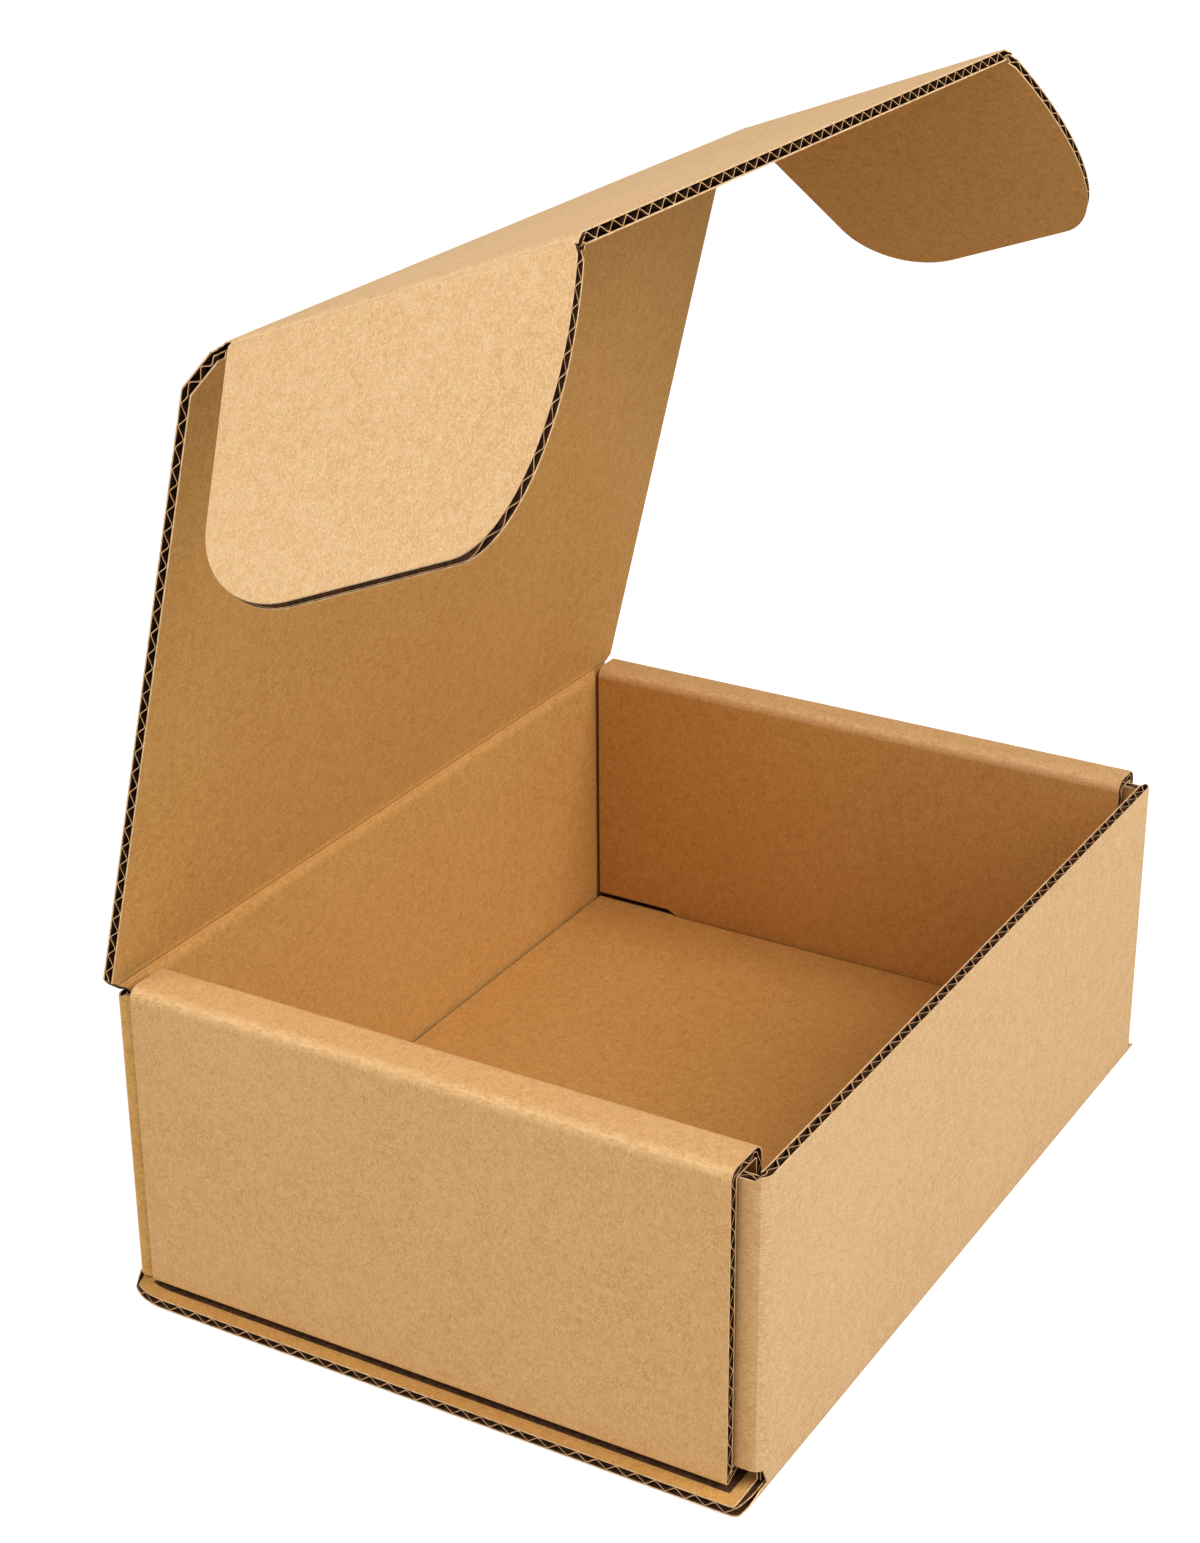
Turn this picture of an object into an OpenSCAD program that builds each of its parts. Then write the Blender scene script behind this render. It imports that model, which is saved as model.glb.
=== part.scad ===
// Corrugated mailer box, lid open. Millimetres, +Z up.
// Origin: middle of the base, on the surface it stands on. Front is -Y, the lid hinge is at +Y.

/* [Board] */
// Thickness of the corrugated board
board_t = 3.5; // [3:0.1:4]
// Clear gap between a moving board and the crease it turns on
crease_gap = 0.4; // [0.3:0.05:0.6]
// Outside radius of a folded corner
fold_r = 4; // [3.6:0.1:4.5]

/* [Box] */
// Outside depth, front wall to back wall
box_depth = 216; // [190:2:240]
// Outside width over the rolled side walls
box_width = 292; // [260:2:320]
// Height of the rolled side walls
box_height = 107; // [95:1:115]
// Width of the flat top of the left side wall
left_roll_width = 18; // [15:0.5:20]
// Width of the flat top of the right side wall
right_roll_width = 14; // [13.5:0.5:20]
// How far the front wall's raw edge stays below the side walls
front_drop = 2.5; // [2:0.5:5]
// How far the lid's crease stays below the side walls
hinge_drop = 2; // [1:0.5:4]
// Slot between front wall and side walls for the tuck flap
front_slot = 5; // [4.6:0.2:7]
// Gap between back wall and the right side wall and inner floor
back_slot = 1.4; // [0.6:0.2:2]
// Gap between back wall and the left side wall
left_back_slot = 4.6; // [4.6:0.2:6]
// How far the back wall's left corner stands out past its corner flap
left_corner_bulge = 2.4; // [0.5:0.1:2.6]
// Base board standing out past the left side wall
base_ledge = 5; // [1:0.5:6]
// Length of the corner flaps inside the side walls
corner_flap_length = 96; // [60:2:100]
// Gap between the corner flaps and the outer side panels
slide_gap = 1; // [0.6:0.1:1.2]
// How much lower the walls start at their corners than the corner flaps
corner_drop = 2.5; // [1:0.1:3]

/* [Inner floor and locking tabs] */
// Height of the inner floor's top face
floor_top = 13; // [10.5:0.5:15]
// Slope of the inner floor up from the side walls' bottom fold
floor_slope = 32; // [28:1:45]
// Gap under the side walls' bottom fold
fold_gap = 0.8; // [0.6:0.1:0.9]
// Length of the inner panels' locking tab
tab_length = 138; // [80:2:150]
// Gap under the inner panels beside the tab
tab_shoulder = 1.8; // [1:0.1:3]
// Play of the tab in its slot, each side
tab_play = 0.35; // [0.2:0.05:0.6]
// Size of the slanted corners of the tab
tab_corner = 3; // [1:0.5:6]

/* [Lid] */
// How far the lid's crease stays inside the back wall's outer face
hinge_inset = 1; // [0.8:0.1:1.6]
// Opening angle of the lid, from closed
lid_open = 76.7; // [40:0.1:150]
// Width of the bevel strip between the lid's two front creases
strip_length = 17; // [14:0.5:20]
// Turn of the bevel strip from the lid
strip_fold = 29; // [20:1:35]

/* [Tuck flap and ears] */
// Depth of the tuck flap from its crease
flap_depth = 106; // [98:1:108]
// Fold of the tuck flap from the bevel strip
flap_fold = 26.7; // [5:0.1:60]
// How far the tuck flap's crease stays inside the lid's ends
flap_inset = 2.5; // [2.2:0.1:12]
// How far each ear crease leans in, top to bottom
ear_crease_lean = 14; // [0:0.5:14]
// Depth of the ears from their crease
ear_depth = 82; // [60:1:84]
// Radius of the ears' corner near the lid
ear_corner_r = 28; // [8:1:30]
// Length of the ears' round end, along their crease
ear_round_length = 30; // [20:1:60]
// Share of the ears' depth that their round end takes
ear_round_share = 0.95; // [0.3:0.05:0.95]
// Fold of the left ear from the tuck flap
left_ear_fold = 46; // [10:1:85]
// Fold of the right ear from the tuck flap
right_ear_fold = 50; // [10:1:85]

/* [Hidden] */

kraft = [0.78, 0.62, 0.42];
kraft_inside = [0.72, 0.56, 0.37];
rim_r = board_t / 2;
fold_c = fold_r - rim_r;
fold_steps = 6;
bead_fn = 32;
fuse = 0.01;

// outer wrap
wall_c = box_depth / 2 - rim_r;
front_top = box_height - front_drop;
panel_out = box_width / 2;
panel_c = panel_out - rim_r;
flap_face = panel_out - board_t - slide_gap;
flap_c = flap_face - rim_r;
wall_half = flap_c - fold_c;
tip_z = board_t + fold_gap;
slope_rise = tip_z + (panel_c - flap_face + board_t) * tan(floor_slope);
flap_bottom = slope_rise + rim_r / cos(floor_slope) + crease_gap;
corner_bottom = flap_bottom - corner_drop;
front_flap_top = box_height - board_t - crease_gap;
back_flap_top = box_height - hinge_drop - rim_r - crease_gap;
bulge_run = fold_c * tan(45 / 2);
bulge_y = wall_c - fold_c - bulge_run - 20 * fuse;
bulge_end = bulge_y - left_corner_bulge;
base_left = panel_out + base_ledge;

// inner tray
roll_c = box_height - rim_r;
tray_front = -box_depth / 2 + board_t + front_slot;
tray_back = box_depth / 2 - board_t - back_slot;
tab_mid = (tray_back + tray_front) / 2;
floor_c = floor_top - rim_r;
slope_x = panel_c - (floor_c - tip_z) / tan(floor_slope);
left_back = box_depth / 2 - board_t - left_back_slot;

// lid, strip, tuck flap and ears
hinge_y = box_depth / 2 - hinge_inset;
hinge_z = box_height - hinge_drop;
lid_rise = rim_r - hinge_inset / 2;
clear_r = rim_r + crease_gap;
slot_mid = box_depth / 2 - board_t - front_slot / 2;
lid_length = hinge_y + slot_mid - strip_length * cos(strip_fold);
strip_tip = [-lid_length - strip_length * cos(strip_fold), lid_rise - strip_length * sin(strip_fold)];
flap_half = panel_out - flap_inset;
flap_half_end = flap_half - ear_crease_lean;
crease_turn = atan2(ear_crease_lean, flap_depth);
crease_run = norm([ear_crease_lean, flap_depth]);
ear_start = clear_r + crease_gap;
ear_round_depth = ear_depth * ear_round_share;
ear_tip_gap = 2.5 * crease_gap;

function unit(v) = v / norm(v);
function way(p, i) = unit(p[i + 1] - p[i]);
function side(p, i) =
    let (n = len(p) - 1, a = way(p, max(i - 1, 0)), b = way(p, min(i, n - 1)), m = unit(a + b))
    [-m[1], m[0]] / (m * a);
function band(p) = concat(
    [for (i = [0 : len(p) - 1]) p[i] + side(p, i) * rim_r],
    [for (i = [len(p) - 1 : -1 : 0]) p[i] - side(p, i) * rim_r]);
function arc(c, r, a, b, steps = fold_steps) =
    [for (i = [0 : steps]) c + r * [cos(a + (b - a) * i / steps), sin(a + (b - a) * i / steps)]];

// the arc that rounds corner b of the path a, b, c, whichever way it turns
function bend(a, b, c) =
    let (u = unit(b - a), v = unit(c - b), w = atan2(u[0] * v[1] - u[1] * v[0], u * v),
         p = b - u * fold_c * tan(abs(w) / 2), o = p + [-u[1], u[0]] * fold_c * sign(w), q = p - o)
    [for (i = [0 : fold_steps]) let (t = w * i / fold_steps)
        o + [q[0] * cos(t) - q[1] * sin(t), q[0] * sin(t) + q[1] * cos(t)]];
function route(p) = [
    p[0],
    for (i = [1 : len(p) - 2]) each bend(p[i - 1], p[i], p[i + 1]),
    p[len(p) - 1]];

// a flat section drawn in Y and Z, run along X from a to b
module run_x(a, b) {
    translate([a, 0, 0])
        rotate([90, 0, 90])
            linear_extrude(b - a)
                children();
}

// a flat section drawn in X and Z, run along Y from a to b
module run_y(a, b) {
    translate([0, b, 0])
        rotate([90, 0, 0])
            linear_extrude(b - a)
                children();
}

module base_board() {
    difference() {
        run_x(-base_left, panel_out)
            polygon(band(route([[-wall_c, fold_r + fuse], [-wall_c, rim_r], [wall_c, rim_r],
                                [wall_c, fold_r + fuse]])));
        for (s = [-1, 1])
            run_y(-box_depth, box_depth)
                polygon([[s * flap_face, fold_r], [s * (base_left - fuse), board_t],
                         [s * (base_left + board_t), board_t], [s * (base_left + board_t), 2 * fold_r],
                         [s * flap_face, 2 * fold_r]]);
    }
}

module walls() {
    run_x(-wall_half, wall_half)
        polygon(band([[-wall_c, front_top], [-wall_c, fold_r]]));
    run_x(-wall_half, wall_half)
        polygon(band([[wall_c, fold_r], [wall_c, hinge_z - board_t]]));
    run_x(-wall_half, wall_half)
        polygon(concat(
            [[wall_c - rim_r, hinge_z - board_t]],
            [for (a = [180 : -15 : 0]) [hinge_y + rim_r * cos(a), hinge_z + rim_r * sin(a)]],
            [[wall_c + rim_r, hinge_z - board_t]]));
    for (s = [-1, 1])
        for (e = [-1, 1])
            corner_flap(s, e);
}

// corner flaps: a rounded wall corner, then a flap that runs inside the side wall
module corner_flap(s, e) {
    tray_end = e > 0 ? back_slot : front_slot;
    flap_top = e > 0 ? back_flap_top : front_flap_top;
    scale([s, e, 1])
        if (e > 0 && s < 0) {
            wall_corner(flap_bottom, flap_top, [
                [flap_c + left_corner_bulge, wall_c], [flap_c + left_corner_bulge, bulge_y],
                [flap_c, bulge_end], [flap_c, wall_c - corner_flap_length + rim_r]]);
            wall_corner(corner_bottom, flap_bottom, [
                [flap_c + left_corner_bulge, wall_c], [flap_c + left_corner_bulge, bulge_y + bulge_run]]);
        } else {
            wall_corner(flap_bottom, flap_top, [
                [flap_c, wall_c], [flap_c, wall_c - corner_flap_length + rim_r]]);
            wall_corner(corner_bottom, flap_bottom, [
                [flap_c, wall_c], [flap_c, wall_c - rim_r - tray_end + crease_gap]]);
        }
}

module wall_corner(z0, z1, p) {
    translate([0, 0, z0])
        linear_extrude(z1 - z0)
            polygon(band(route(concat([[wall_half - fuse, wall_c]], p))));
}

module outer_wrap() {
    color(kraft) {
        base_board();
        walls();
    }
}

function inner_c(s) = s * (panel_out - (s < 0 ? left_roll_width : right_roll_width) + rim_r);
function tray_half(s) = [
    [inner_c(s), floor_top + tab_shoulder], [inner_c(s), roll_c], [s * panel_c, roll_c],
    [s * panel_c, tip_z], [s * slope_x, floor_c]];
function reversed(p) = [for (i = [len(p) - 1 : -1 : 0]) p[i]];

module tab(s) {
    translate([inner_c(s) - rim_r, tab_mid, 0])
        rotate([90, 0, 90])
            linear_extrude(board_t)
                polygon(concat(
                    [[-tab_length / 2 - tab_corner, floor_top + tab_shoulder]],
                    [[-tab_length / 2, floor_top + tab_shoulder / 4]],
                    [[-tab_length / 2 + tab_corner, board_t]],
                    [[tab_length / 2 - tab_corner, board_t]],
                    [[tab_length / 2, floor_top + tab_shoulder / 4]],
                    [[tab_length / 2 + tab_corner, floor_top + tab_shoulder]]));
}

module tab_slot(s) {
    w = board_t + 2 * tab_play;
    h = tab_length + 2 * tab_play;
    translate([inner_c(s) - w / 2, tab_mid - h / 2, floor_top - 2 * board_t])
        cube([w, h, 2 * board_t + tab_shoulder / 2]);
}

module inner_tray() {
    color(kraft_inside) {
        difference() {
            run_y(tray_front, tray_back)
                polygon(band(route(concat(tray_half(-1), reversed(tray_half(1))))));
            translate([-base_left, left_back, 0])
                cube([base_left - panel_out + left_roll_width, board_t + left_back_slot, box_height]);
            for (s = [-1, 1])
                tab_slot(s);
        }
        for (s = [-1, 1])
            tab(s);
    }
}

// places what is drawn around the lid's crease, lid lying closed, at the opening shown
module at_lid() {
    translate([0, hinge_y, hinge_z])
        rotate([-lid_open, 0, 0])
            children();
}

// places what is drawn around the tuck flap's crease, flap in line with the strip
module at_flap() {
    at_lid()
        translate([0, strip_tip[0], strip_tip[1]])
            rotate([strip_fold + flap_fold, 0, 0])
                children();
}

module lid_panel() {
    path = concat([[-clear_r, lid_rise]],
        arc([-lid_length + fold_c * tan(strip_fold / 2), lid_rise - fold_c], fold_c, 90, 90 + strip_fold),
        [strip_tip]);
    color(kraft)
        at_lid() {
            run_x(-panel_out, panel_out)
                polygon(band(path));
            translate([-panel_out, strip_tip[0], strip_tip[1]])
                rotate([0, 90, 0])
                    cylinder(h = 2 * panel_out, r = rim_r, $fn = bead_fn);
        }
}

module tuck_flap() {
    half_start = flap_half - ear_crease_lean * clear_r / flap_depth;
    color(kraft)
        at_flap() {
            translate([0, 0, -rim_r])
                linear_extrude(board_t)
                    polygon([[-half_start, -clear_r], [half_start, -clear_r],
                             [flap_half_end, -flap_depth], [-flap_half_end, -flap_depth]]);
            for (s = [-1, 1])
                translate([s * flap_half, 0, 0])
                    rotate([90, 0, -s * crease_turn])
                        translate([0, 0, ear_start])
                            cylinder(h = crease_run - ear_start, r = rim_r, $fn = bead_fn);
        }
}

// outline of an ear, run along its crease and depth away from it
function ear_outline() =
    let (mid = [crease_run - ear_round_length, ear_depth - ear_round_depth])
    concat(
        [[ear_start, clear_r]],
        arc([ear_start + ear_corner_r, ear_depth - ear_corner_r], ear_corner_r, 180, 90, 8),
        [for (a = [90 : -6 : 0]) mid + [ear_round_length * cos(a), ear_round_depth * sin(a)]],
        [[crease_run - ear_tip_gap, clear_r]]);

// an ear drawn flat beside its crease, then folded to the inside
module ear(s, fold) {
    color(kraft)
        at_flap()
            translate([s * flap_half, 0, 0])
                rotate([0, 0, -s * crease_turn])
                    rotate([0, s * fold, 0])
                        translate([0, 0, -rim_r])
                            linear_extrude(board_t)
                                polygon([for (q = ear_outline()) [s * q[1], -q[0]]]);
}

module left_ear() {
    ear(-1, left_ear_fold);
}

module right_ear() {
    ear(1, right_ear_fold);
}

outer_wrap();
inner_tray();
lid_panel();
tuck_flap();
left_ear();
right_ear();
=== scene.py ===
import math
import bpy
import numpy as np
from mathutils import Matrix, Vector


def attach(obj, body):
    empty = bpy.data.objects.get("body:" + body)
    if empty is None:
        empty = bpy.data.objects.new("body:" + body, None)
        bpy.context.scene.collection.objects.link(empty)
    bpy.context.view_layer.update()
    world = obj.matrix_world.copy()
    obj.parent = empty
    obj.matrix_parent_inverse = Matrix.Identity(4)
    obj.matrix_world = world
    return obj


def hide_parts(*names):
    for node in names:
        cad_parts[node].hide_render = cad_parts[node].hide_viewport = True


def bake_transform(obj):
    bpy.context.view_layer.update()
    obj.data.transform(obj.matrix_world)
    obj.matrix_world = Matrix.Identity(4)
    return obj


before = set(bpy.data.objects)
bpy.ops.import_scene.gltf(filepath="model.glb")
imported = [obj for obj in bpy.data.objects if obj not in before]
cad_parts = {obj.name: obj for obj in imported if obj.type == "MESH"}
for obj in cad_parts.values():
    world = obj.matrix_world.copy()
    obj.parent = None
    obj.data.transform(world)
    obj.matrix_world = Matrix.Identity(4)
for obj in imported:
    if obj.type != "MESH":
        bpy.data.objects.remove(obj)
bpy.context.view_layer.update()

# An open corrugated mailer box. Sizes are in mm and angles in degrees, as in the part's source, and a mesh
# is turned into metres when it is built. A side is -1 for the left and 1 for the right.

# Board
T = 3.5
LINER = 0.46
FLUTE = 0.34
PITCH = 6.4
FOLD_OUT = 4.0
FOLD = FOLD_OUT - T / 2
GAP = 0.4
CLEAR = T / 2 + GAP

# Box and outer wrap
HALF_D, HALF_W, TALL = 108.0, 146.0, 107.0
FRONT_TOP, HINGE_Z = TALL - 2.5, TALL - 2.0
SIDES = (("left", -1), ("right", 1))
ROLL = {-1: 18.0, 1: 14.0}
LEDGE = 5.0
CORNER_FLAP, SLIDE = 96.0, 1.0
WALL = HALF_D - T / 2
OUTER_X = HALF_W - T / 2
FLAP_X = HALF_W - T - SLIDE - T / 2

# Lower ends of the corner flaps, of the wall corners beside them and of the back wall's bulged corner
FLAP_LOW, CORNER_LOW, BULGE_LOW = 11.7, 9.2, 4.3
BULGE, BULGE_STEP = 2.4, 0.2

# The base turns up at its front and back, from TURN_Z on, and its sides are cut in there by TURN_CUT. The
# ledge's ends are rounded off, from these distances behind and before the box's middle on, by these cuts
TURN_Z, TURN_RISE = 2.2, 1.8
TURN_CUT = {-1: 9.0, 1: 4.5}
BACK_ROUND, BACK_CUT = 92.0, 6.75
FRONT_ROUND, FRONT_CUT = 102.5, 2.4

# Half the length of the base that is painted as shade under the tray
UNDER_TRAY = 100.5

# Inner tray
FRONT_SLOT = 5.0
TRAY_FRONT = -(HALF_D - T - FRONT_SLOT)
TRAY_BACK = {-1: HALF_D - T - 4.6, 1: HALF_D - T - 1.4}
FLOOR_TOP = 13.0
FLOOR_Z, FLOOR_X = FLOOR_TOP - T / 2, 133.13

# The side's bottom fold, with its corner at TIP_Z, is pressed sharp. A negative radius moves its arc past
# the corner, and within PINCH_REACH of it the inner half of the board loses PINCH_SHARE of its height
PINCH, TIP_Z = -0.75, 7.2
PINCH_REACH, PINCH_SHARE = 2.0, 0.85

# Locking tabs: their ends along the box, their slanted corners and the heights where these change
TAB_HALF, TAB_CORNER, TAB_PLAY = 69.0, 3.0, 0.35
TAB_MID = (TRAY_FRONT + TRAY_BACK[1]) / 2
TAB = (TAB_MID - TAB_HALF, TAB_MID + TAB_HALF)
TAB_TIP, TAB_KNEE, TAB_ROOT = 3.7, 13.45, FLOOR_TOP + 1.8

# Lid with its bevel strip, tuck flap and ears
LID_OPEN, STRIP_FOLD, FLAP_FOLD = 76.7, 29.0, 26.7
HINGE_IN = 1.0
HINGE = np.array([0.0, HALF_D - HINGE_IN, HINGE_Z])
RISE = T / 2 - HINGE_IN / 2
STRIP = 17.0
LID = HINGE[1] + HALF_D - T - FRONT_SLOT / 2 - STRIP * math.cos(math.radians(STRIP_FOLD))
FLAP_HALF, LEAN, FLAP_DEEP = HALF_W - 2.5, 14.0, 106.0
TURN = math.degrees(math.atan2(LEAN, FLAP_DEEP))
RUN = math.hypot(LEAN, FLAP_DEEP)
EAR_FOLD, EAR_DEEP = {-1: 46.0, 1: 50.0}, 82.0
EAR_START, EAR_TIP_GAP, EAR_CORNER = CLEAR + GAP, 1.0, 28.0
EAR_END_LONG, EAR_END_DEEP = 30.0, EAR_DEEP * 0.95


def turn_x(deg):
    a = math.radians(deg)
    return np.array([[1, 0, 0], [0, math.cos(a), -math.sin(a)], [0, math.sin(a), math.cos(a)]])


def turn_y(deg):
    a = math.radians(deg)
    return np.array([[math.cos(a), 0, math.sin(a)], [0, 1, 0], [-math.sin(a), 0, math.cos(a)]])


def turn_z(deg):
    a = math.radians(deg)
    return np.array([[math.cos(a), -math.sin(a), 0], [math.sin(a), math.cos(a), 0], [0, 0, 1]])


LID_R = turn_x(-LID_OPEN)
STRIP_R = LID_R @ turn_x(STRIP_FOLD)
FLAP_R = STRIP_R @ turn_x(FLAP_FOLD)
TIP = HINGE + LID_R @ np.array([0, -LID, RISE]) + STRIP_R @ np.array([0, -STRIP, 0])


# Material nodes
def new_material(name, rough, shine=0.28):
    m = bpy.data.materials.new(name)
    m.use_nodes = True
    bsdf = m.node_tree.nodes["Principled BSDF"]
    bsdf.inputs["Roughness"].default_value = rough
    bsdf.inputs["Specular IOR Level"].default_value = shine
    return m, m.node_tree, bsdf


def node(tree, kind, **sets):
    """A new node. Names that start with in_ set its inputs and all others its own settings."""
    n = tree.nodes.new(kind)
    for key, value in sets.items():
        if key.startswith("in_"):
            n.inputs[key[3:].replace("_", " ")].default_value = value
        else:
            setattr(n, key, value)
    return n


def mix(tree, share, a, b, blend="MIX"):
    n = node(tree, "ShaderNodeMix", data_type="RGBA", blend_type=blend)
    for value, socket in ((share, n.inputs[0]), (a, n.inputs[6]), (b, n.inputs[7])):
        if isinstance(value, bpy.types.NodeSocket):
            tree.links.new(value, socket)
        else:
            socket.default_value = value
    return n.outputs[2]


def ramp(tree, value, *stops):
    """A grey value from another one, through stops of (position, grey)."""
    n = tree.nodes.new("ShaderNodeValToRGB")
    tree.links.new(value, n.inputs[0])
    while len(n.color_ramp.elements) < len(stops):
        n.color_ramp.elements.new(0.5)
    for element, (position, grey) in zip(n.color_ramp.elements, stops):
        element.position = position
        element.color = (grey, grey, grey, 1.0)
    return n.outputs[0]


def noise(tree, source, scale, detail=3.0, rough=0.6, warp=0.0, stretch=None):
    if stretch:
        mapping = node(tree, "ShaderNodeMapping", in_Scale=stretch)
        tree.links.new(source, mapping.inputs["Vector"])
        source = mapping.outputs[0]
    n = node(tree, "ShaderNodeTexNoise", in_Scale=scale, in_Detail=detail, in_Roughness=rough,
             in_Distortion=warp)
    tree.links.new(source, n.inputs["Vector"])
    return n.outputs["Fac"]


def bump(tree, bsdf, height, strength, distance):
    n = node(tree, "ShaderNodeBump", in_Strength=strength, in_Distance=distance)
    tree.links.new(height, n.inputs["Height"])
    tree.links.new(n.outputs[0], bsdf.inputs["Normal"])


def srgb(*channels):
    """A colour from 0 to 255 as the linear values that a shader takes."""
    share = [c / 255 for c in channels]
    return tuple(c / 12.92 if c <= 0.0404 else ((c + 0.055) / 1.055) ** 2.4 for c in share) + (1.0,)


# Scale of the wave texture, which gives a crest to about two flutes
WASHBOARD = 50.0 / PITCH / math.pi


def kraft(name, base, light, dark, pale):
    """Liner board: mottling, fibres, specks, faint lines of the flutes and pale pressed folds, which also
    paint a highlight along the folds.
    """
    m, t, bsdf = new_material(name, 0.8)
    coordinates = t.nodes.new("ShaderNodeTexCoord")
    flat, solid = coordinates.outputs["UV"], coordinates.outputs["Object"]

    # clouds and mottling
    cloud = noise(t, solid, 14.0, 2.0, 0.55)
    mottle = noise(t, solid, 330.0, warp=1.1)
    colour = mix(t, ramp(t, cloud, (0.30, 0.0), (0.72, 1.0)), base, light)
    colour = mix(t, 0.22, base, colour)
    colour = mix(t, ramp(t, mottle, (0.36, 0.0), (0.64, 0.45)), colour, light)

    # pale fibres across the flutes, dark ones along them, and specks
    pale_fibre = noise(t, flat, 48.0, 4.0, warp=3.0, stretch=(1.0, 2.8, 1.0))
    dark_fibre = noise(t, flat, 62.0, warp=3.4, stretch=(2.4, 1.0, 1.0))
    colour = mix(t, ramp(t, pale_fibre, (0.47, 0.0), (0.56, 0.7), (0.68, 1.0)), colour, light)
    colour = mix(t, ramp(t, dark_fibre, (0.33, 0.6), (0.46, 0.0)), colour, dark)
    cells = node(t, "ShaderNodeTexVoronoi", in_Scale=62.0, in_Randomness=1.0)
    t.links.new(solid, cells.inputs["Vector"])
    colour = mix(t, ramp(t, cells.outputs["Distance"], (0.025, 0.45), (0.055, 0.0)), colour, dark)

    # pale streaks where the liner is stretched over a fold, also a painted highlight on the fold's edge
    worn_and_highlit = node(t, "ShaderNodeAttribute", attribute_name="fold_wear")
    streak = noise(t, flat, 30.0, 4.0, 0.65, 0.6, (7.0, 0.9, 1.0))
    share = mix(t, 1.0, ramp(t, streak, (0.38, 0.0), (0.66, 0.7)), worn_and_highlit.outputs["Color"], "MULTIPLY")
    colour = mix(t, share, colour, pale)
    t.links.new(colour, bsdf.inputs["Base Color"])

    # grain, with a little of the flutes' lines
    line = node(t, "ShaderNodeTexWave", in_Scale=WASHBOARD, in_Distortion=0.6, in_Detail=1.0,
                bands_direction="X")
    t.links.new(flat, line.inputs["Vector"])
    grain = noise(t, flat, 150.0, 3.0, 0.65, 1.0)
    bump(t, bsdf, mix(t, 0.10, grain, line.outputs["Fac"]), 0.2, 0.00022)
    return m


def edge_paper(name, base, dark):
    m, t, bsdf = new_material(name, 0.9)
    grain = noise(t, t.nodes.new("ShaderNodeTexCoord").outputs["Object"], 520.0)
    t.links.new(mix(t, ramp(t, grain, (0.36, 0.0), (0.64, 1.0)), dark, base), bsdf.inputs["Base Color"])
    bump(t, bsdf, grain, 0.3, 0.0002)
    return m


OUT, CUT, PAINTED_SHADE, FLUTE_EDGE, IN_SHADE, TRAY_OUT = range(6)
MATERIALS = (
    kraft("kraft_liner", srgb(208, 163, 107), srgb(242, 204, 155), srgb(178, 128, 73), srgb(248, 218, 176)),
    edge_paper("liner_cut", srgb(240, 206, 160), srgb(212, 168, 118)),
    # The fluted sheet's paper darkened nearly to black: painted shade in the flutes' hollows, also put on
    # the liners' faces towards them, under the tray and under the floor's edges
    edge_paper("flute_paper_painted_shade", srgb(96, 62, 36), srgb(58, 36, 20)),
    edge_paper("flute_cut", srgb(226, 180, 126), srgb(184, 136, 88)),
    # A darker, redder copy of the liner: painted shade on the boards' inner faces, on the ledge and in
    # recessed corners
    kraft("kraft_inside", srgb(188, 134, 63), srgb(223, 174, 103), srgb(148, 96, 38), srgb(226, 178, 118)),
    kraft("kraft_tray", srgb(197, 148, 87), srgb(230, 185, 128), srgb(168, 117, 61), srgb(244, 208, 158)),
)


# Board pieces
class Route:
    """A folded section: straight runs joined by arcs. Its normal is on the left, or flipped to the right."""

    def __init__(self, corners, radii=None, steps=8, flip=False):
        c = [np.array(p, float) for p in corners]
        way = [(b - a) / np.linalg.norm(b - a) for a, b in zip(c, c[1:])]
        left = [np.array([-w[1], w[0]]) for w in way]
        points, normals, arcs, self.tight = [c[0]], [left[0]], [], []
        for i in range(1, len(c) - 1):
            cross = way[i - 1][0] * way[i][1] - way[i - 1][1] * way[i][0]
            turn = math.atan2(cross, float(way[i - 1] @ way[i]))
            radius = radii[i - 1] if radii else FOLD
            start = c[i] - way[i - 1] * radius * math.tan(abs(turn) / 2)
            centre = start + left[i - 1] * radius * (1 if turn > 0 else -1)
            for k in range(steps + 1):
                w = turn * k / steps
                rot = np.array([[math.cos(w), -math.sin(w)], [math.sin(w), math.cos(w)]])
                points.append(centre + rot @ (start - centre))
                normals.append(rot @ left[i - 1])
            arcs.append((len(points) - steps - 1, len(points) - 1))
            if radius < 0:
                self.tight.append((len(arcs) - 1, math.copysign(1, turn)))
        self.points = np.array(points + [c[-1]])
        self.normals = np.array(normals + [left[-1]]) * (-1 if flip else 1)
        step = np.linalg.norm(np.diff(self.points, axis=0), axis=1)
        self.s = np.concatenate([[0], np.cumsum(step)])
        self.length = self.s[-1]
        self.arcs = [(self.s[i], self.s[j]) for i, j in arcs]

    def at(self, a, h):
        """The point a mm along the route and h mm to the side of it."""
        a = np.asarray(a, float)
        x, y = (np.interp(a, self.s, self.points[:, i]) for i in (0, 1))
        nx, ny = (np.interp(a, self.s, self.normals[:, i]) for i in (0, 1))
        size = np.hypot(nx, ny)
        for i, side in self.tight:
            near = 1 - np.clip(away(self.arcs[i], a) / PINCH_REACH, 0, 1)
            h = np.where(h * side > 0, h * (1 - PINCH_SHARE * near), h)
        return x + nx / size * h, y + ny / size * h


def away(arc, a):
    """How far a place is from a range, and 0 in it."""
    return np.maximum(np.maximum(arc[0] - a, a - arc[1]), 0)


def crush_of(arcs, a, deep=0.5, reach=3.0):
    """1 away from a fold, less inside it, where the flutes are pressed flat."""
    c = np.ones_like(a)
    for arc in arcs:
        c = np.minimum(c, deep + (1 - deep) * np.clip(away(arc, a) / reach, 0, 1))
    return c


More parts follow.
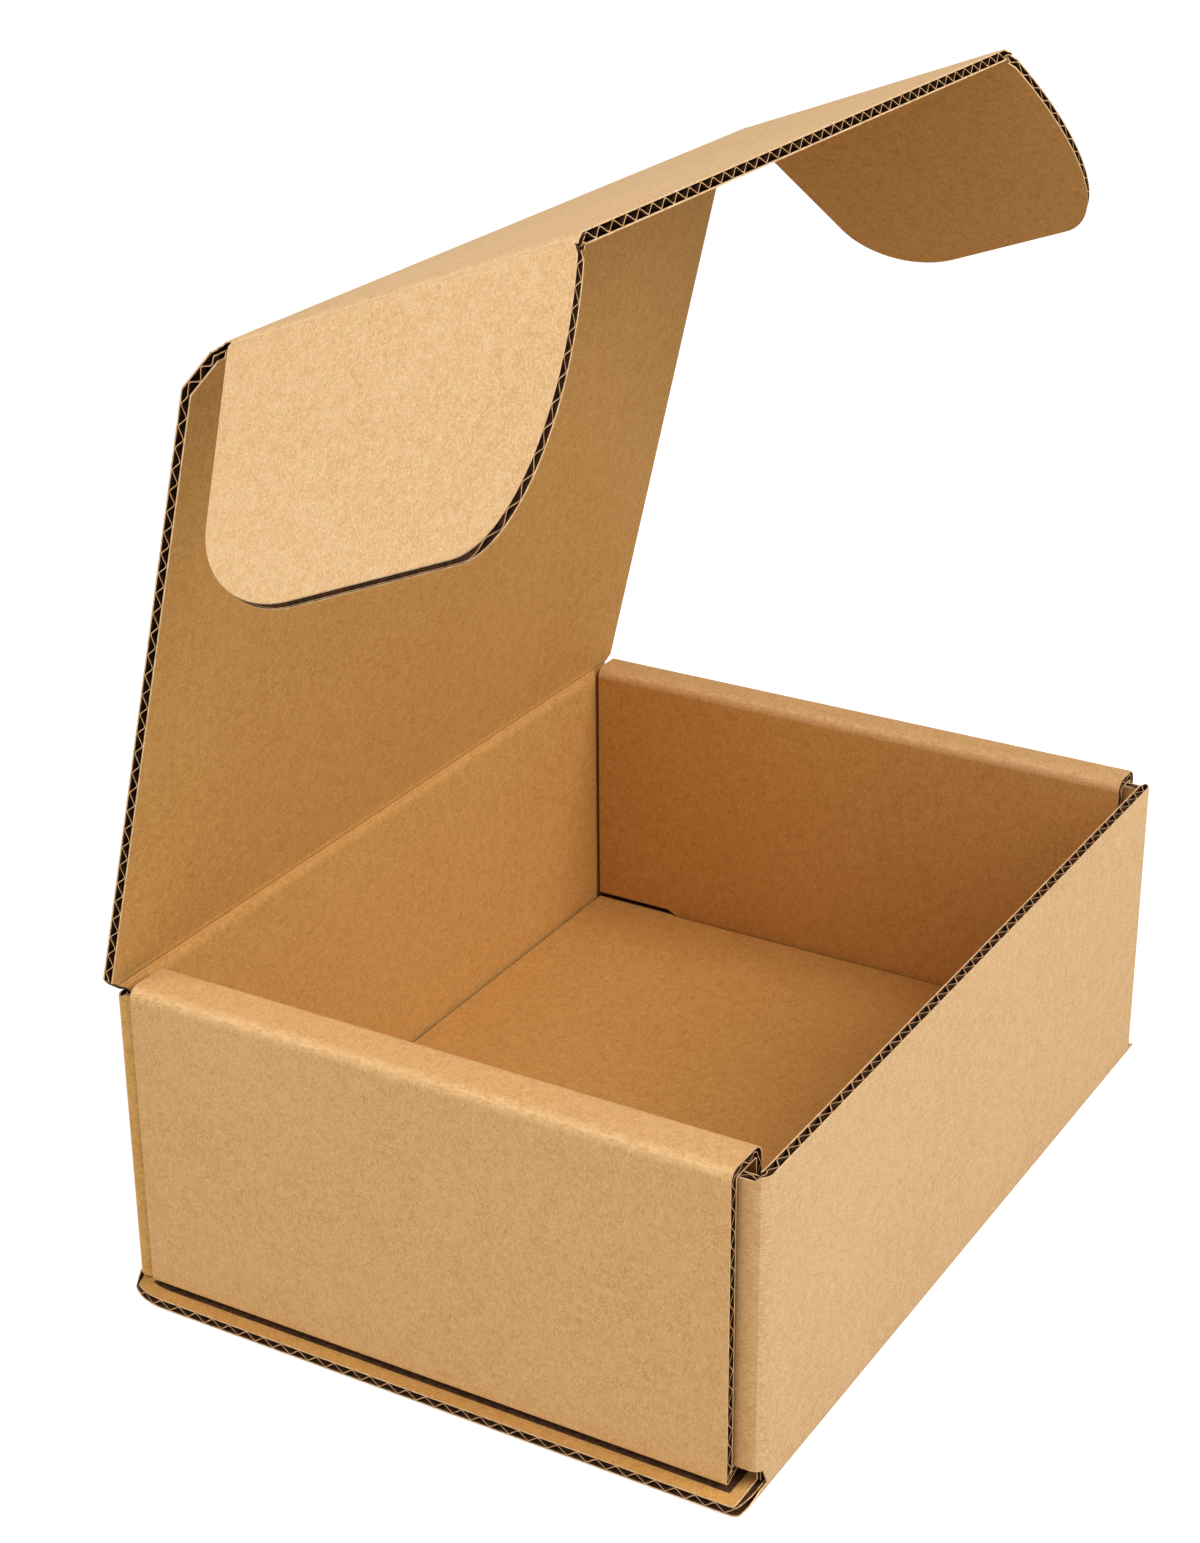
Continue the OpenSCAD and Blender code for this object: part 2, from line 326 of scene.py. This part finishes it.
def wear_of(arcs, a, reach=0.1, fall=1.6):
    """1 at the middle of a fold, 0 beside it."""
    w = np.zeros_like(a)
    for lo, hi in arcs:
        w = np.maximum(w, 1 - np.clip(np.abs(a - (lo + hi) / 2) / ((hi - lo) / 2 + reach), 0, 1))
    return w ** fall


def smooth_noise(a, scale, seed):
    """A value from 0 to 1 that wanders over about scale mm, the same in each run."""
    x = np.asarray(a, float) / scale
    i = np.floor(x).astype(int)
    f = x - i
    f = f * f * (3 - 2 * f)

    def pick(n):
        v = np.sin(n * 127.1 + seed * 311.7) * 43758.5453
        return v - np.floor(v)

    return pick(i) * (1 - f) + pick(i + 1) * f


def quarter(u):
    """0 to 1 as u goes from 0 to 1, along a quarter of a circle."""
    return 1 - np.sqrt(1 - np.clip(u, 0, 1) ** 2)


class Shell:
    """Collects thin sheets as quads, with a stored map in units of 100 mm and a material for each face."""

    def __init__(self):
        self.points, self.wear, self.quads, self.map, self.materials = [], [], [], [], []
        self.count = 0

    def sheet(self, top, bottom, a, b, face, under, rim, wear):
        """A sheet between two grids of points. A material is a number or a function of a face's place."""
        size = top.shape[0] * top.shape[1]
        upper = np.arange(size).reshape(top.shape[:2]) + self.count
        lower = upper + size
        places = np.stack([a, b], -1).reshape(-1, 2)
        first = self.count
        self.count += 2 * size
        self.points += [top.reshape(-1, 3), bottom.reshape(-1, 3)]
        self.wear += [wear.ravel(), wear.ravel()]

        def add(corners, material):
            corners = corners.reshape(-1, 4)
            at = places[(corners - first) % size]
            self.quads.append(corners)
            self.map.append(at.reshape(-1, 2) / 100)
            chosen = material(*at.mean(1).T) if callable(material) else np.full(len(corners), material)
            self.materials.append(chosen)

        def cells(grid):
            return np.stack([grid[:-1, :-1], grid[1:, :-1], grid[1:, 1:], grid[:-1, 1:]], -1)

        add(cells(upper), face)
        add(cells(lower)[..., ::-1], under)
        forth, back = slice(None), slice(None, None, -1)
        for edge in ((forth, 0), (back, -1), (-1, forth), (0, back)):
            over, below = upper[edge], lower[edge]
            add(np.stack([over[:-1], below[:-1], below[1:], over[1:]], -1), rim)

    def build(self, name, smooth=32):
        """The mesh object, smooth but for edges sharper than the angle smooth."""
        points = np.concatenate(self.points) / 1000
        quads = np.concatenate(self.quads)
        mesh = bpy.data.meshes.new(name)
        mesh.vertices.add(len(points))
        mesh.vertices.foreach_set("co", points.astype(np.float32).ravel())
        mesh.loops.add(quads.size)
        mesh.loops.foreach_set("vertex_index", quads.astype(np.int32).ravel())
        mesh.polygons.add(len(quads))
        mesh.polygons.foreach_set("loop_start", (np.arange(len(quads)) * 4).astype(np.int32))
        mesh.polygons.foreach_set("material_index", np.concatenate(self.materials).astype(np.int32))
        layer = mesh.uv_layers.new(name="board")
        layer.data.foreach_set("uv", np.concatenate(self.map).astype(np.float32).ravel())
        worn_and_highlit = mesh.attributes.new("fold_wear", "FLOAT", "POINT")
        worn_and_highlit.data.foreach_set("value", np.concatenate(self.wear).astype(np.float32))
        for material in MATERIALS:
            mesh.materials.append(material)
        mesh.update(calc_edges=True)
        mesh.validate()
        mesh.shade_smooth()
        mesh.set_sharp_from_angle(angle=math.radians(smooth))
        ob = bpy.data.objects.new(name, mesh)
        bpy.context.scene.collection.objects.link(ob)
        return ob


# How far the fluted sheet wanders along the board, varies in height and sways between the liners, and over
# what length each of these changes
WANDER, WANDER_OVER = 1.1, 21.0
UNEVEN, UNEVEN_OVER = 0.07, 9.0
SWAY, SWAY_OVER = 0.12, 7.0

# Straightness of the flutes' flanks, and samples to a flute
FLANK, FLUTE_STEPS = 0.95, 12

# What is left of the flutes' height at a pressed raw edge, and how far the press reaches
END_CRUSH, END_REACH = 0.45, 4.0

# Samples across a fold, and how far they reach past it
FOLD_SAMPLES, FOLD_MARGIN = 15, 0.6

# The pressed raw edge at the start of a board, as a range along it
RAW_START = (-1.0, 0.1)


def columns(lo, hi, arcs, step):
    """Sample places along a board: even on the flats, close together in the folds."""
    a = list(np.linspace(lo, hi, max(2, int(math.ceil((hi - lo) / step)) + 1)))
    for start, end in arcs:
        a += [x for x in np.linspace(start - FOLD_MARGIN, end + FOLD_MARGIN, FOLD_SAMPLES) if lo < x < hi]
    return np.unique(np.round(a, 4))


def board(place, lo, hi, span, arcs=(), rows=5, step=9.0, seed=1, extra=(), crush=0.5, ends=(),
          faces=(OUT, IN_SHADE), worn_and_highlit=()):
    """Two liners and the fluted sheet between them, as a Shell.

    place(a, b, h) gives the point a mm along the board, b mm across it and h mm above its middle. span(a)
    gives the two ends of the flute at a. arcs are the folds, ends the pressed raw edges and worn_and_highlit
    the pale pressed lines, partly a painted highlight, all as ranges of a. rows is a number of places across
    the board, or a list of their shares of the way.
    """
    shell = Shell()

    def grid(a, h, thick, face, under, rim, shares):
        start, end = span(a)
        k = (np.linspace(0, 1, shares) if np.isscalar(shares) else np.asarray(shares))[None, :]
        across = start[:, None] * (1 - k) + end[:, None] * k
        along = np.repeat(a[:, None], k.size, 1)
        height = np.repeat(h[:, None], k.size, 1)
        top = place(along, across, height + thick / 2)
        bottom = place(along, across, height - thick / 2)
        shell.sheet(top, bottom, along, across, face, under, rim, wear_of(worn_and_highlit, along))

    extra = np.asarray(extra, float)
    a = np.unique(np.concatenate([columns(lo, hi, arcs, step), extra]))
    off = np.full_like(a, T / 2 - LINER / 2)
    # The liners' faces towards the flutes carry the painted shade of the hollows
    grid(a, off, LINER, faces[0], PAINTED_SHADE, CUT, rows)
    grid(a, -off, LINER, PAINTED_SHADE, faces[1], CUT, rows)
    samples = max(8, int((hi - lo) / PITCH * FLUTE_STEPS))
    a = np.unique(np.concatenate([np.linspace(lo, hi, samples), extra]))
    phase = 2 * math.pi * (a + WANDER * smooth_noise(a, WANDER_OVER, seed)) / PITCH + seed
    wave = np.arcsin(FLANK * np.sin(phase)) / math.asin(FLANK)
    wave *= (T / 2 - LINER - FLUTE / 2) * (1 - UNEVEN + UNEVEN * smooth_noise(a, UNEVEN_OVER, seed + 3))
    wave *= crush_of(arcs, a, crush) * crush_of(ends, a, END_CRUSH, END_REACH)
    sway = SWAY * (smooth_noise(a, SWAY_OVER, seed + 9) - 0.5)
    grid(a, wave + sway, FLUTE, PAINTED_SHADE, PAINTED_SHADE, FLUTE_EDGE, 3)
    return shell


def flat_span(lo, hi):
    return lambda a: (np.full_like(a, lo), np.full_like(a, hi))


def turned(rot, origin, x, y, z):
    return np.stack([x, y, z], -1) @ rot.T + origin


def lengthwise(route, mirror=1):
    """place() for a board whose section lies in X and Z, with its flutes along Y."""
    def place(a, b, h):
        x, z = route.at(a, h)
        return np.stack([mirror * x, b, z], -1)

    return place


BOARD, BOARD_INNER = "kraft_board", "kraft_board_inner"


def piece(name, shell, body, slot, *nodes):
    ob = shell.build(name)
    if nodes:
        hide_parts(*nodes)
    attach(ob, body)


# Base board of the outer wrap
base_route = Route([(-WALL, FOLD_OUT), (-WALL, T / 2), (WALL, T / 2), (WALL, FOLD_OUT)], flip=True)


def base_span(a):
    y, z = base_route.at(a, 0)
    up = np.clip((z - TURN_Z) / TURN_RISE, 0, 1)
    cut = BACK_CUT * quarter((y - BACK_ROUND) / (WALL - BACK_ROUND))
    cut = cut + FRONT_CUT * quarter((-y - FRONT_ROUND) / (WALL - FRONT_ROUND))
    return -HALF_W - LEDGE + cut + (TURN_CUT[-1] - cut) * up, HALF_W - TURN_CUT[1] * up


def base_place(a, b, h):
    y, z = base_route.at(a, h)
    return np.stack([b, y, z], -1)


def base_top_shade(a, b):
    """Painted shade where the tray covers the base, so that the gap under the tray looks dark; the darker
    inside kraft elsewhere.
    """
    return np.where((b > -HALF_W - 1.0) & (np.abs(a - base_route.length / 2) < UNDER_TRAY), PAINTED_SHADE, IN_SHADE)


# more samples where the base turns up, and a first row of faces as wide as the ledge
turn_ups = np.concatenate([np.linspace(0, 8, 14), base_route.length - np.linspace(0, 20, 30)])
ledge_rows = [0, 0.016] + list(np.linspace(0.05, 1, 8))
base = board(base_place, 0, base_route.length, base_span, base_route.arcs, rows=ledge_rows, seed=2,
             extra=turn_ups, crush=0.8, faces=(OUT, base_top_shade))
piece("base_board", base, "tray", BOARD, "outer_wrap")


# Front wall and back wall, each with its two corner flaps
def wall(name, side, top, flap_top, past, strip, seed):
    """The front wall has the side -1 and the back wall 1. The back wall's left corner bulges out.

    past is how far the low corners reach past the left and the right fold. strip is the material at the left
    corner, a darker kraft that is painted shade for the recess there.
    """
    flap_end = -WALL + CORNER_FLAP - T / 2
    bulged = side > 0
    left = [(-FLAP_X, -WALL)]
    if bulged:
        turn = WALL - FOLD - FOLD * math.tan(math.radians(22.5)) - BULGE_STEP
        left = [(-FLAP_X, -turn + BULGE), (-FLAP_X - BULGE, -turn), (-FLAP_X - BULGE, -WALL)]
    route = Route([(-FLAP_X, flap_end)] + left + [(FLAP_X, -WALL), (FLAP_X, flap_end)], flip=True)
    (left_start, left_end), (right_start, right_end) = route.arcs[-2:]
    low_from, low_to = left_start - past[0], right_end + past[1]

    def span(a):
        inside = np.clip((a - left_start) / (left_end - left_start), 0, 1)
        inside = inside * np.clip((right_end - a) / (right_end - right_start), 0, 1)
        low = np.where((a < low_from) | (a > low_to), FLAP_LOW, CORNER_LOW)
        if bulged:
            low = np.where((a >= low_from) & (a < left_end), BULGE_LOW, low)
        low = low + (FOLD_OUT - low) * np.clip(3 * inside - 2, 0, 1)
        return low, flap_top + (top - flap_top) * np.clip(3 * inside, 0, 1)

    def place(a, b, h):
        x, y = route.at(a, h)
        return np.stack([x, -side * y, b], -1)

    def outside(a, b):
        return np.where(a < left_start + 1.0, strip, OUT)

    edges = [v + d for v in (low_from, low_to) for d in (-0.01, 0.01)]
    edges += list(np.linspace(left_start, left_end, 13)) + list(np.linspace(right_start, right_end, 13))
    shell = board(place, 0, route.length, span, route.arcs, seed=seed, extra=edges, crush=0.6,
                  faces=(outside, IN_SHADE))
    piece(name, shell, "tray", BOARD)


# The left corners are painted shade: tray kraft on the front wall, the inside kraft on the back wall
wall("front_wall", -1, FRONT_TOP, TALL - T - GAP, (5.0, 5.0), TRAY_OUT, 4)
wall("back_wall", 1, HINGE_Z - T, HINGE_Z - CLEAR, (2.6, 1.0), IN_SHADE, 5)


# Inner tray: each side is one sheet from the locking tab up, over the roll, down and up again to the floor
SLOPE_WAY = np.array([OUTER_X - FLOOR_X, FLOOR_Z - TIP_Z])
SLOPE_WAY /= np.linalg.norm(SLOPE_WAY)

# The tab's slot reaches this far past the middle of the inner panel, outwards and inwards. The sheet from
# the bottom fold stops a little short of it, be it flat there or still sloping
SLOT_OUT, SLOT_IN = 2.1, 2.6
STOP_FLAT, STOP_SLOPE = 0.05, 0.1


def inner_x(side):
    return HALF_W - ROLL[side] + T / 2


def slot_side(side):
    """Where the sheet from the bottom fold stops at the tab's slot, and its folds before and after that."""
    edge = inner_x(side) + SLOT_OUT
    if edge < FLOOR_X:
        return (edge + STOP_FLAT, FLOOR_Z), [(FLOOR_X, FLOOR_Z)], []
    x = edge + T / 2 * SLOPE_WAY[1] + STOP_SLOPE
    return (x, TIP_Z + (OUTER_X - x) * SLOPE_WAY[1] / SLOPE_WAY[0]), [], [(FLOOR_X, FLOOR_Z)]


def tray_side(name, side, seed, *nodes):
    end, before, _ = slot_side(side)
    x = inner_x(side)
    corners = [(x, TAB_TIP), (x, TALL - T / 2), (OUTER_X, TALL - T / 2), (OUTER_X, TIP_Z)]
    route = Route(corners + before + [end], [FOLD, FOLD, PINCH, FOLD])
    knee, root = TAB_KNEE - TAB_TIP, TAB_ROOT - TAB_TIP

    def span(a):
        cut = TAB_CORNER * (np.clip((knee - a) / knee, 0, 1) - np.clip((a - knee) / (root - knee), 0, 1))
        lo = np.where(a <= root, TAB[0] + cut, TRAY_FRONT)
        hi = np.where(a <= root, TAB[1] - cut, TRAY_BACK[side])
        return lo, hi

    def outside(a, b):
        return np.where(a < route.arcs[0][0], IN_SHADE, TRAY_OUT)

    shell = board(lengthwise(route, side), 0, route.length, span, route.arcs, rows=7, seed=seed, crush=0.55,
                  extra=(knee, root - 0.01, root + 0.01), ends=[RAW_START], faces=(outside, IN_SHADE),
                  worn_and_highlit=route.arcs[:2])
    piece(name, shell, "tray", BOARD_INNER, *nodes)


tray_side("tray_side_left", -1, 6, "inner_tray")
tray_side("tray_side_right", 1, 7)


def floor_part(name, path, start, end, seed, reach=HALF_W):
    """A part of the floor, from start to end along Y. Its lower face is painted shade past reach."""
    route = Route(path)

    def below(a, b):
        return np.where(np.abs(route.at(a, 0)[0]) > reach, PAINTED_SHADE, IN_SHADE)

    shell = board(lengthwise(route), 0, route.length, flat_span(start, end), route.arcs, step=3.0, seed=seed,
                  faces=(IN_SHADE, below))
    piece(name, shell, "tray", BOARD_INNER)


IN_SLOT = {side: inner_x(side) - SLOT_IN for side in (-1, 1)}
floor_part("tray_floor", [(IN_SLOT[1], FLOOR_Z), (-IN_SLOT[-1], FLOOR_Z)], TRAY_FRONT, TRAY_BACK[1], 8)
for word, side in SIDES:
    start, _, after = slot_side(side)
    path = [(side * x, z) for x, z in [start] + after + [(IN_SLOT[side], FLOOR_Z)]]
    if side < 0:
        path = path[::-1]
    reach = IN_SLOT[side] + 1
    floor_part("tray_bridge_front_" + word, path, TRAY_FRONT, TAB[0] - TAB_PLAY, 9, reach)
    floor_part("tray_bridge_back_" + word, path, TAB[1] + TAB_PLAY, TRAY_BACK[side], 10, reach)

# Lid with the bevel strip
strip_way = np.array([math.cos(math.radians(STRIP_FOLD)), -math.sin(math.radians(STRIP_FOLD))])
lid_route = Route([(CLEAR, RISE), (LID, RISE), np.array([LID, RISE]) + strip_way * (STRIP - CLEAR)])


def lid_place(a, b, h):
    s, n = lid_route.at(a, h)
    return turned(LID_R, HINGE, b, -s, n)


lid_ends = [RAW_START, (lid_route.length - RAW_START[1], lid_route.length - RAW_START[0])]
lid = board(lid_place, 0, lid_route.length, flat_span(-HALF_W, HALF_W), lid_route.arcs, rows=9, seed=11,
            crush=0.6, ends=lid_ends)
piece("lid_board", lid, "lid", BOARD, "lid_panel")

# Tuck flap, with flutes that run down it
FLAP_EDGE = FLAP_HALF - CLEAR / math.cos(math.radians(TURN))


def flap_place(a, b, h):
    return turned(FLAP_R, TIP, a, -b, h)


def flap_span(a):
    deep = (FLAP_EDGE - np.abs(a)) * FLAP_DEEP / LEAN
    return np.full_like(a, CLEAR), np.clip(deep, CLEAR + 0.01, FLAP_DEEP)


half_top = FLAP_EDGE - LEAN * CLEAR / FLAP_DEEP
slant = np.linspace(FLAP_EDGE - LEAN, half_top, 6)
flap = board(flap_place, -half_top, half_top, flap_span, rows=7, seed=12,
             extra=np.concatenate([slant, -slant]))
piece("flap_board", flap, "flap", BOARD, "tuck_flap")


# Ears, with flutes that run along their crease
def ear_rot(side):
    return FLAP_R @ turn_z(-side * TURN) @ turn_y(side * EAR_FOLD[side])


def ear_origin(side):
    return TIP + FLAP_R @ np.array([side * FLAP_HALF, 0, 0])


def ear_span(a):
    lo = EAR_START + EAR_CORNER * quarter((a - EAR_DEEP + EAR_CORNER) / EAR_CORNER)
    straight = EAR_DEEP - EAR_END_DEEP
    hi = RUN - EAR_END_LONG * quarter((a - straight) / EAR_END_DEEP)
    return lo, np.where(a < straight, RUN - EAR_TIP_GAP * (straight - a) / (straight - CLEAR), hi)


def ear_placer(side):
    def place(a, b, h):
        return turned(ear_rot(side), ear_origin(side), side * a, -b, h)

    return place


close = EAR_DEEP - EAR_CORNER * (1 - np.cos(np.linspace(0, math.pi / 2, 18)))
for word, side in SIDES:
    ear = board(ear_placer(side), CLEAR, EAR_DEEP, ear_span, step=3.0, seed=13 + side, extra=close)
    piece("ear_board_" + word, ear, "ear_" + word, BOARD, word + "_ear")

# Creases between the bodies. PULL is the length of their curve's handles, as a share of the crease
PULL = 0.36

# A crease is pressed thin along its middle, more on the inside liner than on the outside one
PRESS_IN, PRESS_OUT, PRESS_REACH = 0.62, 0.22, 0.75
# Half the width of the pale line along a crease's middle: pressed liner, and partly a painted highlight
PALE_LINE = 0.6


def crease(name, first, second, p0, d0, p1, d1, along, lo, hi, seed, flare=0.0):
    """A short length of board from one body to the next.

    p0 and p1 are its ends on the middle of the board, and d0 and d1 their directions of travel. along points
    down the crease, which runs from lo to hi and is shorter by flare at each end where it starts, at p0.
    """
    pull = PULL * np.linalg.norm(p1 - p0)
    k = np.linspace(0, 1, 13)[:, None]
    c0, c1 = p0 + d0 * pull, p1 - d1 * pull
    mid = (1 - k) ** 3 * p0 + 3 * (1 - k) ** 2 * k * c0 + 3 * (1 - k) * k ** 2 * c1 + k ** 3 * p1
    way = 3 * (1 - k) ** 2 * (c0 - p0) + 6 * (1 - k) * k * (c1 - c0) + 3 * k ** 2 * (p1 - c1)
    way /= np.linalg.norm(way, axis=1)[:, None]
    out = np.cross(along, way)
    out /= np.linalg.norm(out, axis=1)[:, None]
    s = np.concatenate([[0], np.cumsum(np.linalg.norm(np.diff(mid, axis=0), axis=1))])
    length = s[-1]
    middle = length * 0.5

    def place(a, b, h):
        press = np.where(h < 0, PRESS_IN, PRESS_OUT) * np.exp(-((a - middle) / PRESS_REACH) ** 2)
        centre, normal = (np.stack([np.interp(a, s, v[:, i]) for i in range(3)], -1) for v in (mid, out))
        return centre + normal * (h * (1 - press))[..., None] + along * b[..., None]

    def span(a):
        cut = flare * (1 - np.clip(a / length, 0, 1))
        return lo + cut, hi - cut

    shell = board(place, 0, length, span, [(0.2, length - 0.2)], rows=7, step=0.6, seed=seed,
                  worn_and_highlit=[(middle - PALE_LINE, middle + PALE_LINE)])
    ob = shell.build(name, 50)
    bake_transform(ob)


X, Y, Z = np.eye(3)
lid_out, strip_out, flap_out = (-rot @ Y for rot in (LID_R, STRIP_R, FLAP_R))
crease("hinge_crease", "tray", "lid", np.array([0, WALL, HINGE_Z - T]), Z,
       HINGE + LID_R @ Z * RISE + lid_out * CLEAR, lid_out, -X, -HALF_W, HALF_W, 20, flare=7.0)
crease("flap_crease", "lid", "flap", TIP - strip_out * CLEAR, strip_out, TIP + flap_out * CLEAR, flap_out,
       -X, -FLAP_HALF, FLAP_HALF, 21)
for word, side in SIDES:
    crease_rot = FLAP_R @ turn_z(-side * TURN)
    from_flap, to_ear = crease_rot @ X * side, ear_rot(side) @ X * side
    origin = ear_origin(side)
    crease("ear_crease_" + word, "flap", "ear_" + word, origin - from_flap * CLEAR, from_flap,
           origin + to_ear * CLEAR, to_ear, -side * (crease_rot @ Y),
           *sorted((side * EAR_START, side * RUN)), 22 + side)


# Floor and background: white where they are looked at, and softer in the light that they give the object
def seen_directly(tree):
    """1 for what the camera, a reflection or a clear material looks at, 0 for what lights the object."""
    path = tree.nodes.new("ShaderNodeLightPath")
    out = path.outputs["Is Camera Ray"]
    for other in ("Is Glossy Ray", "Is Transmission Ray"):
        larger = node(tree, "ShaderNodeMath", operation="MAXIMUM")
        tree.links.new(out, larger.inputs[0])
        tree.links.new(path.outputs[other], larger.inputs[1])
        out = larger.outputs[0]
    return out


def split(tree, lights, seen, target):
    both = tree.nodes.new("ShaderNodeMixShader")
    for i, source in enumerate((seen_directly(tree), lights.outputs[0], seen.outputs[0])):
        tree.links.new(source, both.inputs[i])
    tree.links.new(both.outputs[0], tree.nodes[target].inputs["Surface"])


FLOOR_SIZE, FLOOR_DROP = 4.0, 0.0004
floor_mat, floor_tree, floor_bsdf = new_material("floor_white", 0.9, shine=0.0)
floor_bsdf.inputs["Base Color"].default_value = (0.52, 0.52, 0.52, 1)
glow = node(floor_tree, "ShaderNodeEmission", in_Strength=0.76)
white = floor_tree.nodes.new("ShaderNodeAddShader")
floor_tree.links.new(floor_bsdf.outputs[0], white.inputs[0])
floor_tree.links.new(glow.outputs[0], white.inputs[1])
split(floor_tree, floor_bsdf, white, "Material Output")
floor_mesh = bpy.data.meshes.new("floor")
around = ((-1, -1), (1, -1), (1, 1), (-1, 1))
floor_corners = [(x * FLOOR_SIZE, y * FLOOR_SIZE, -FLOOR_DROP) for x, y in around]
floor_mesh.from_pydata(floor_corners, [], [(0, 1, 2, 3)])
floor_mesh.materials.append(floor_mat)
floor = bpy.data.objects.new("floor", floor_mesh)
bpy.context.scene.collection.objects.link(floor)

world = bpy.data.worlds.new("studio")
bpy.context.scene.world = world
world.use_nodes = True
background = world.node_tree.nodes["Background"]
background.inputs["Color"].default_value = (1, 1, 1, 1)
background.inputs["Strength"].default_value = 0.35
seen = node(world.node_tree, "ShaderNodeBackground", in_Color=(1, 1, 1, 1), in_Strength=1.0)
split(world.node_tree, background, seen, "World Output")


# Lights and camera, in metres
def lamp(name, place, target, size, watts):
    light = bpy.data.lights.new(name, "AREA")
    light.size = size
    light.energy = watts
    ob = bpy.data.objects.new(name, light)
    ob.location = place
    ob.rotation_euler = (Vector(target) - Vector(place)).to_track_quat("-Z", "Y").to_euler()
    bpy.context.scene.collection.objects.link(ob)


lamp("key", place=(0.15, -1.45, 1.5), target=(0, 0, 0.12), size=1.2, watts=30)
lamp("left_fill", place=(-2.0, 0.15, 0.5), target=(0, 0, 0.15), size=0.9, watts=10)
lamp("rear_top", place=(-1.1, 0.6, 1.6), target=(0, 0, 0.15), size=1.0, watts=11.6)

# The camera was fitted to the photo, whose height and focal length are in pixels
PHOTO_TALL, FOCAL, SENSOR = 1543, 2923.8, 36.0
CAMERA_PLACE = Vector((-0.7238, -0.4001, 0.5221))
camera_data = bpy.data.cameras.new("camera")
camera_data.sensor_fit = "AUTO"
camera_data.sensor_width = SENSOR
camera_data.lens = FOCAL / PHOTO_TALL * SENSOR
camera_data.clip_start = 0.01
camera = bpy.data.objects.new("camera", camera_data)
forward = Vector((0.78322, 0.46016, -0.41812)).normalized()
up = Vector((0.50413, -0.8636, -0.00609)).cross(forward).normalized()
right = forward.cross(up).normalized()
axes = Matrix((right, up, -forward)).transposed()
camera.matrix_world = Matrix.Translation(CAMERA_PLACE) @ axes.to_4x4()
bpy.context.scene.collection.objects.link(camera)
bpy.context.scene.camera = camera
bpy.context.scene.view_settings.view_transform = "Standard"
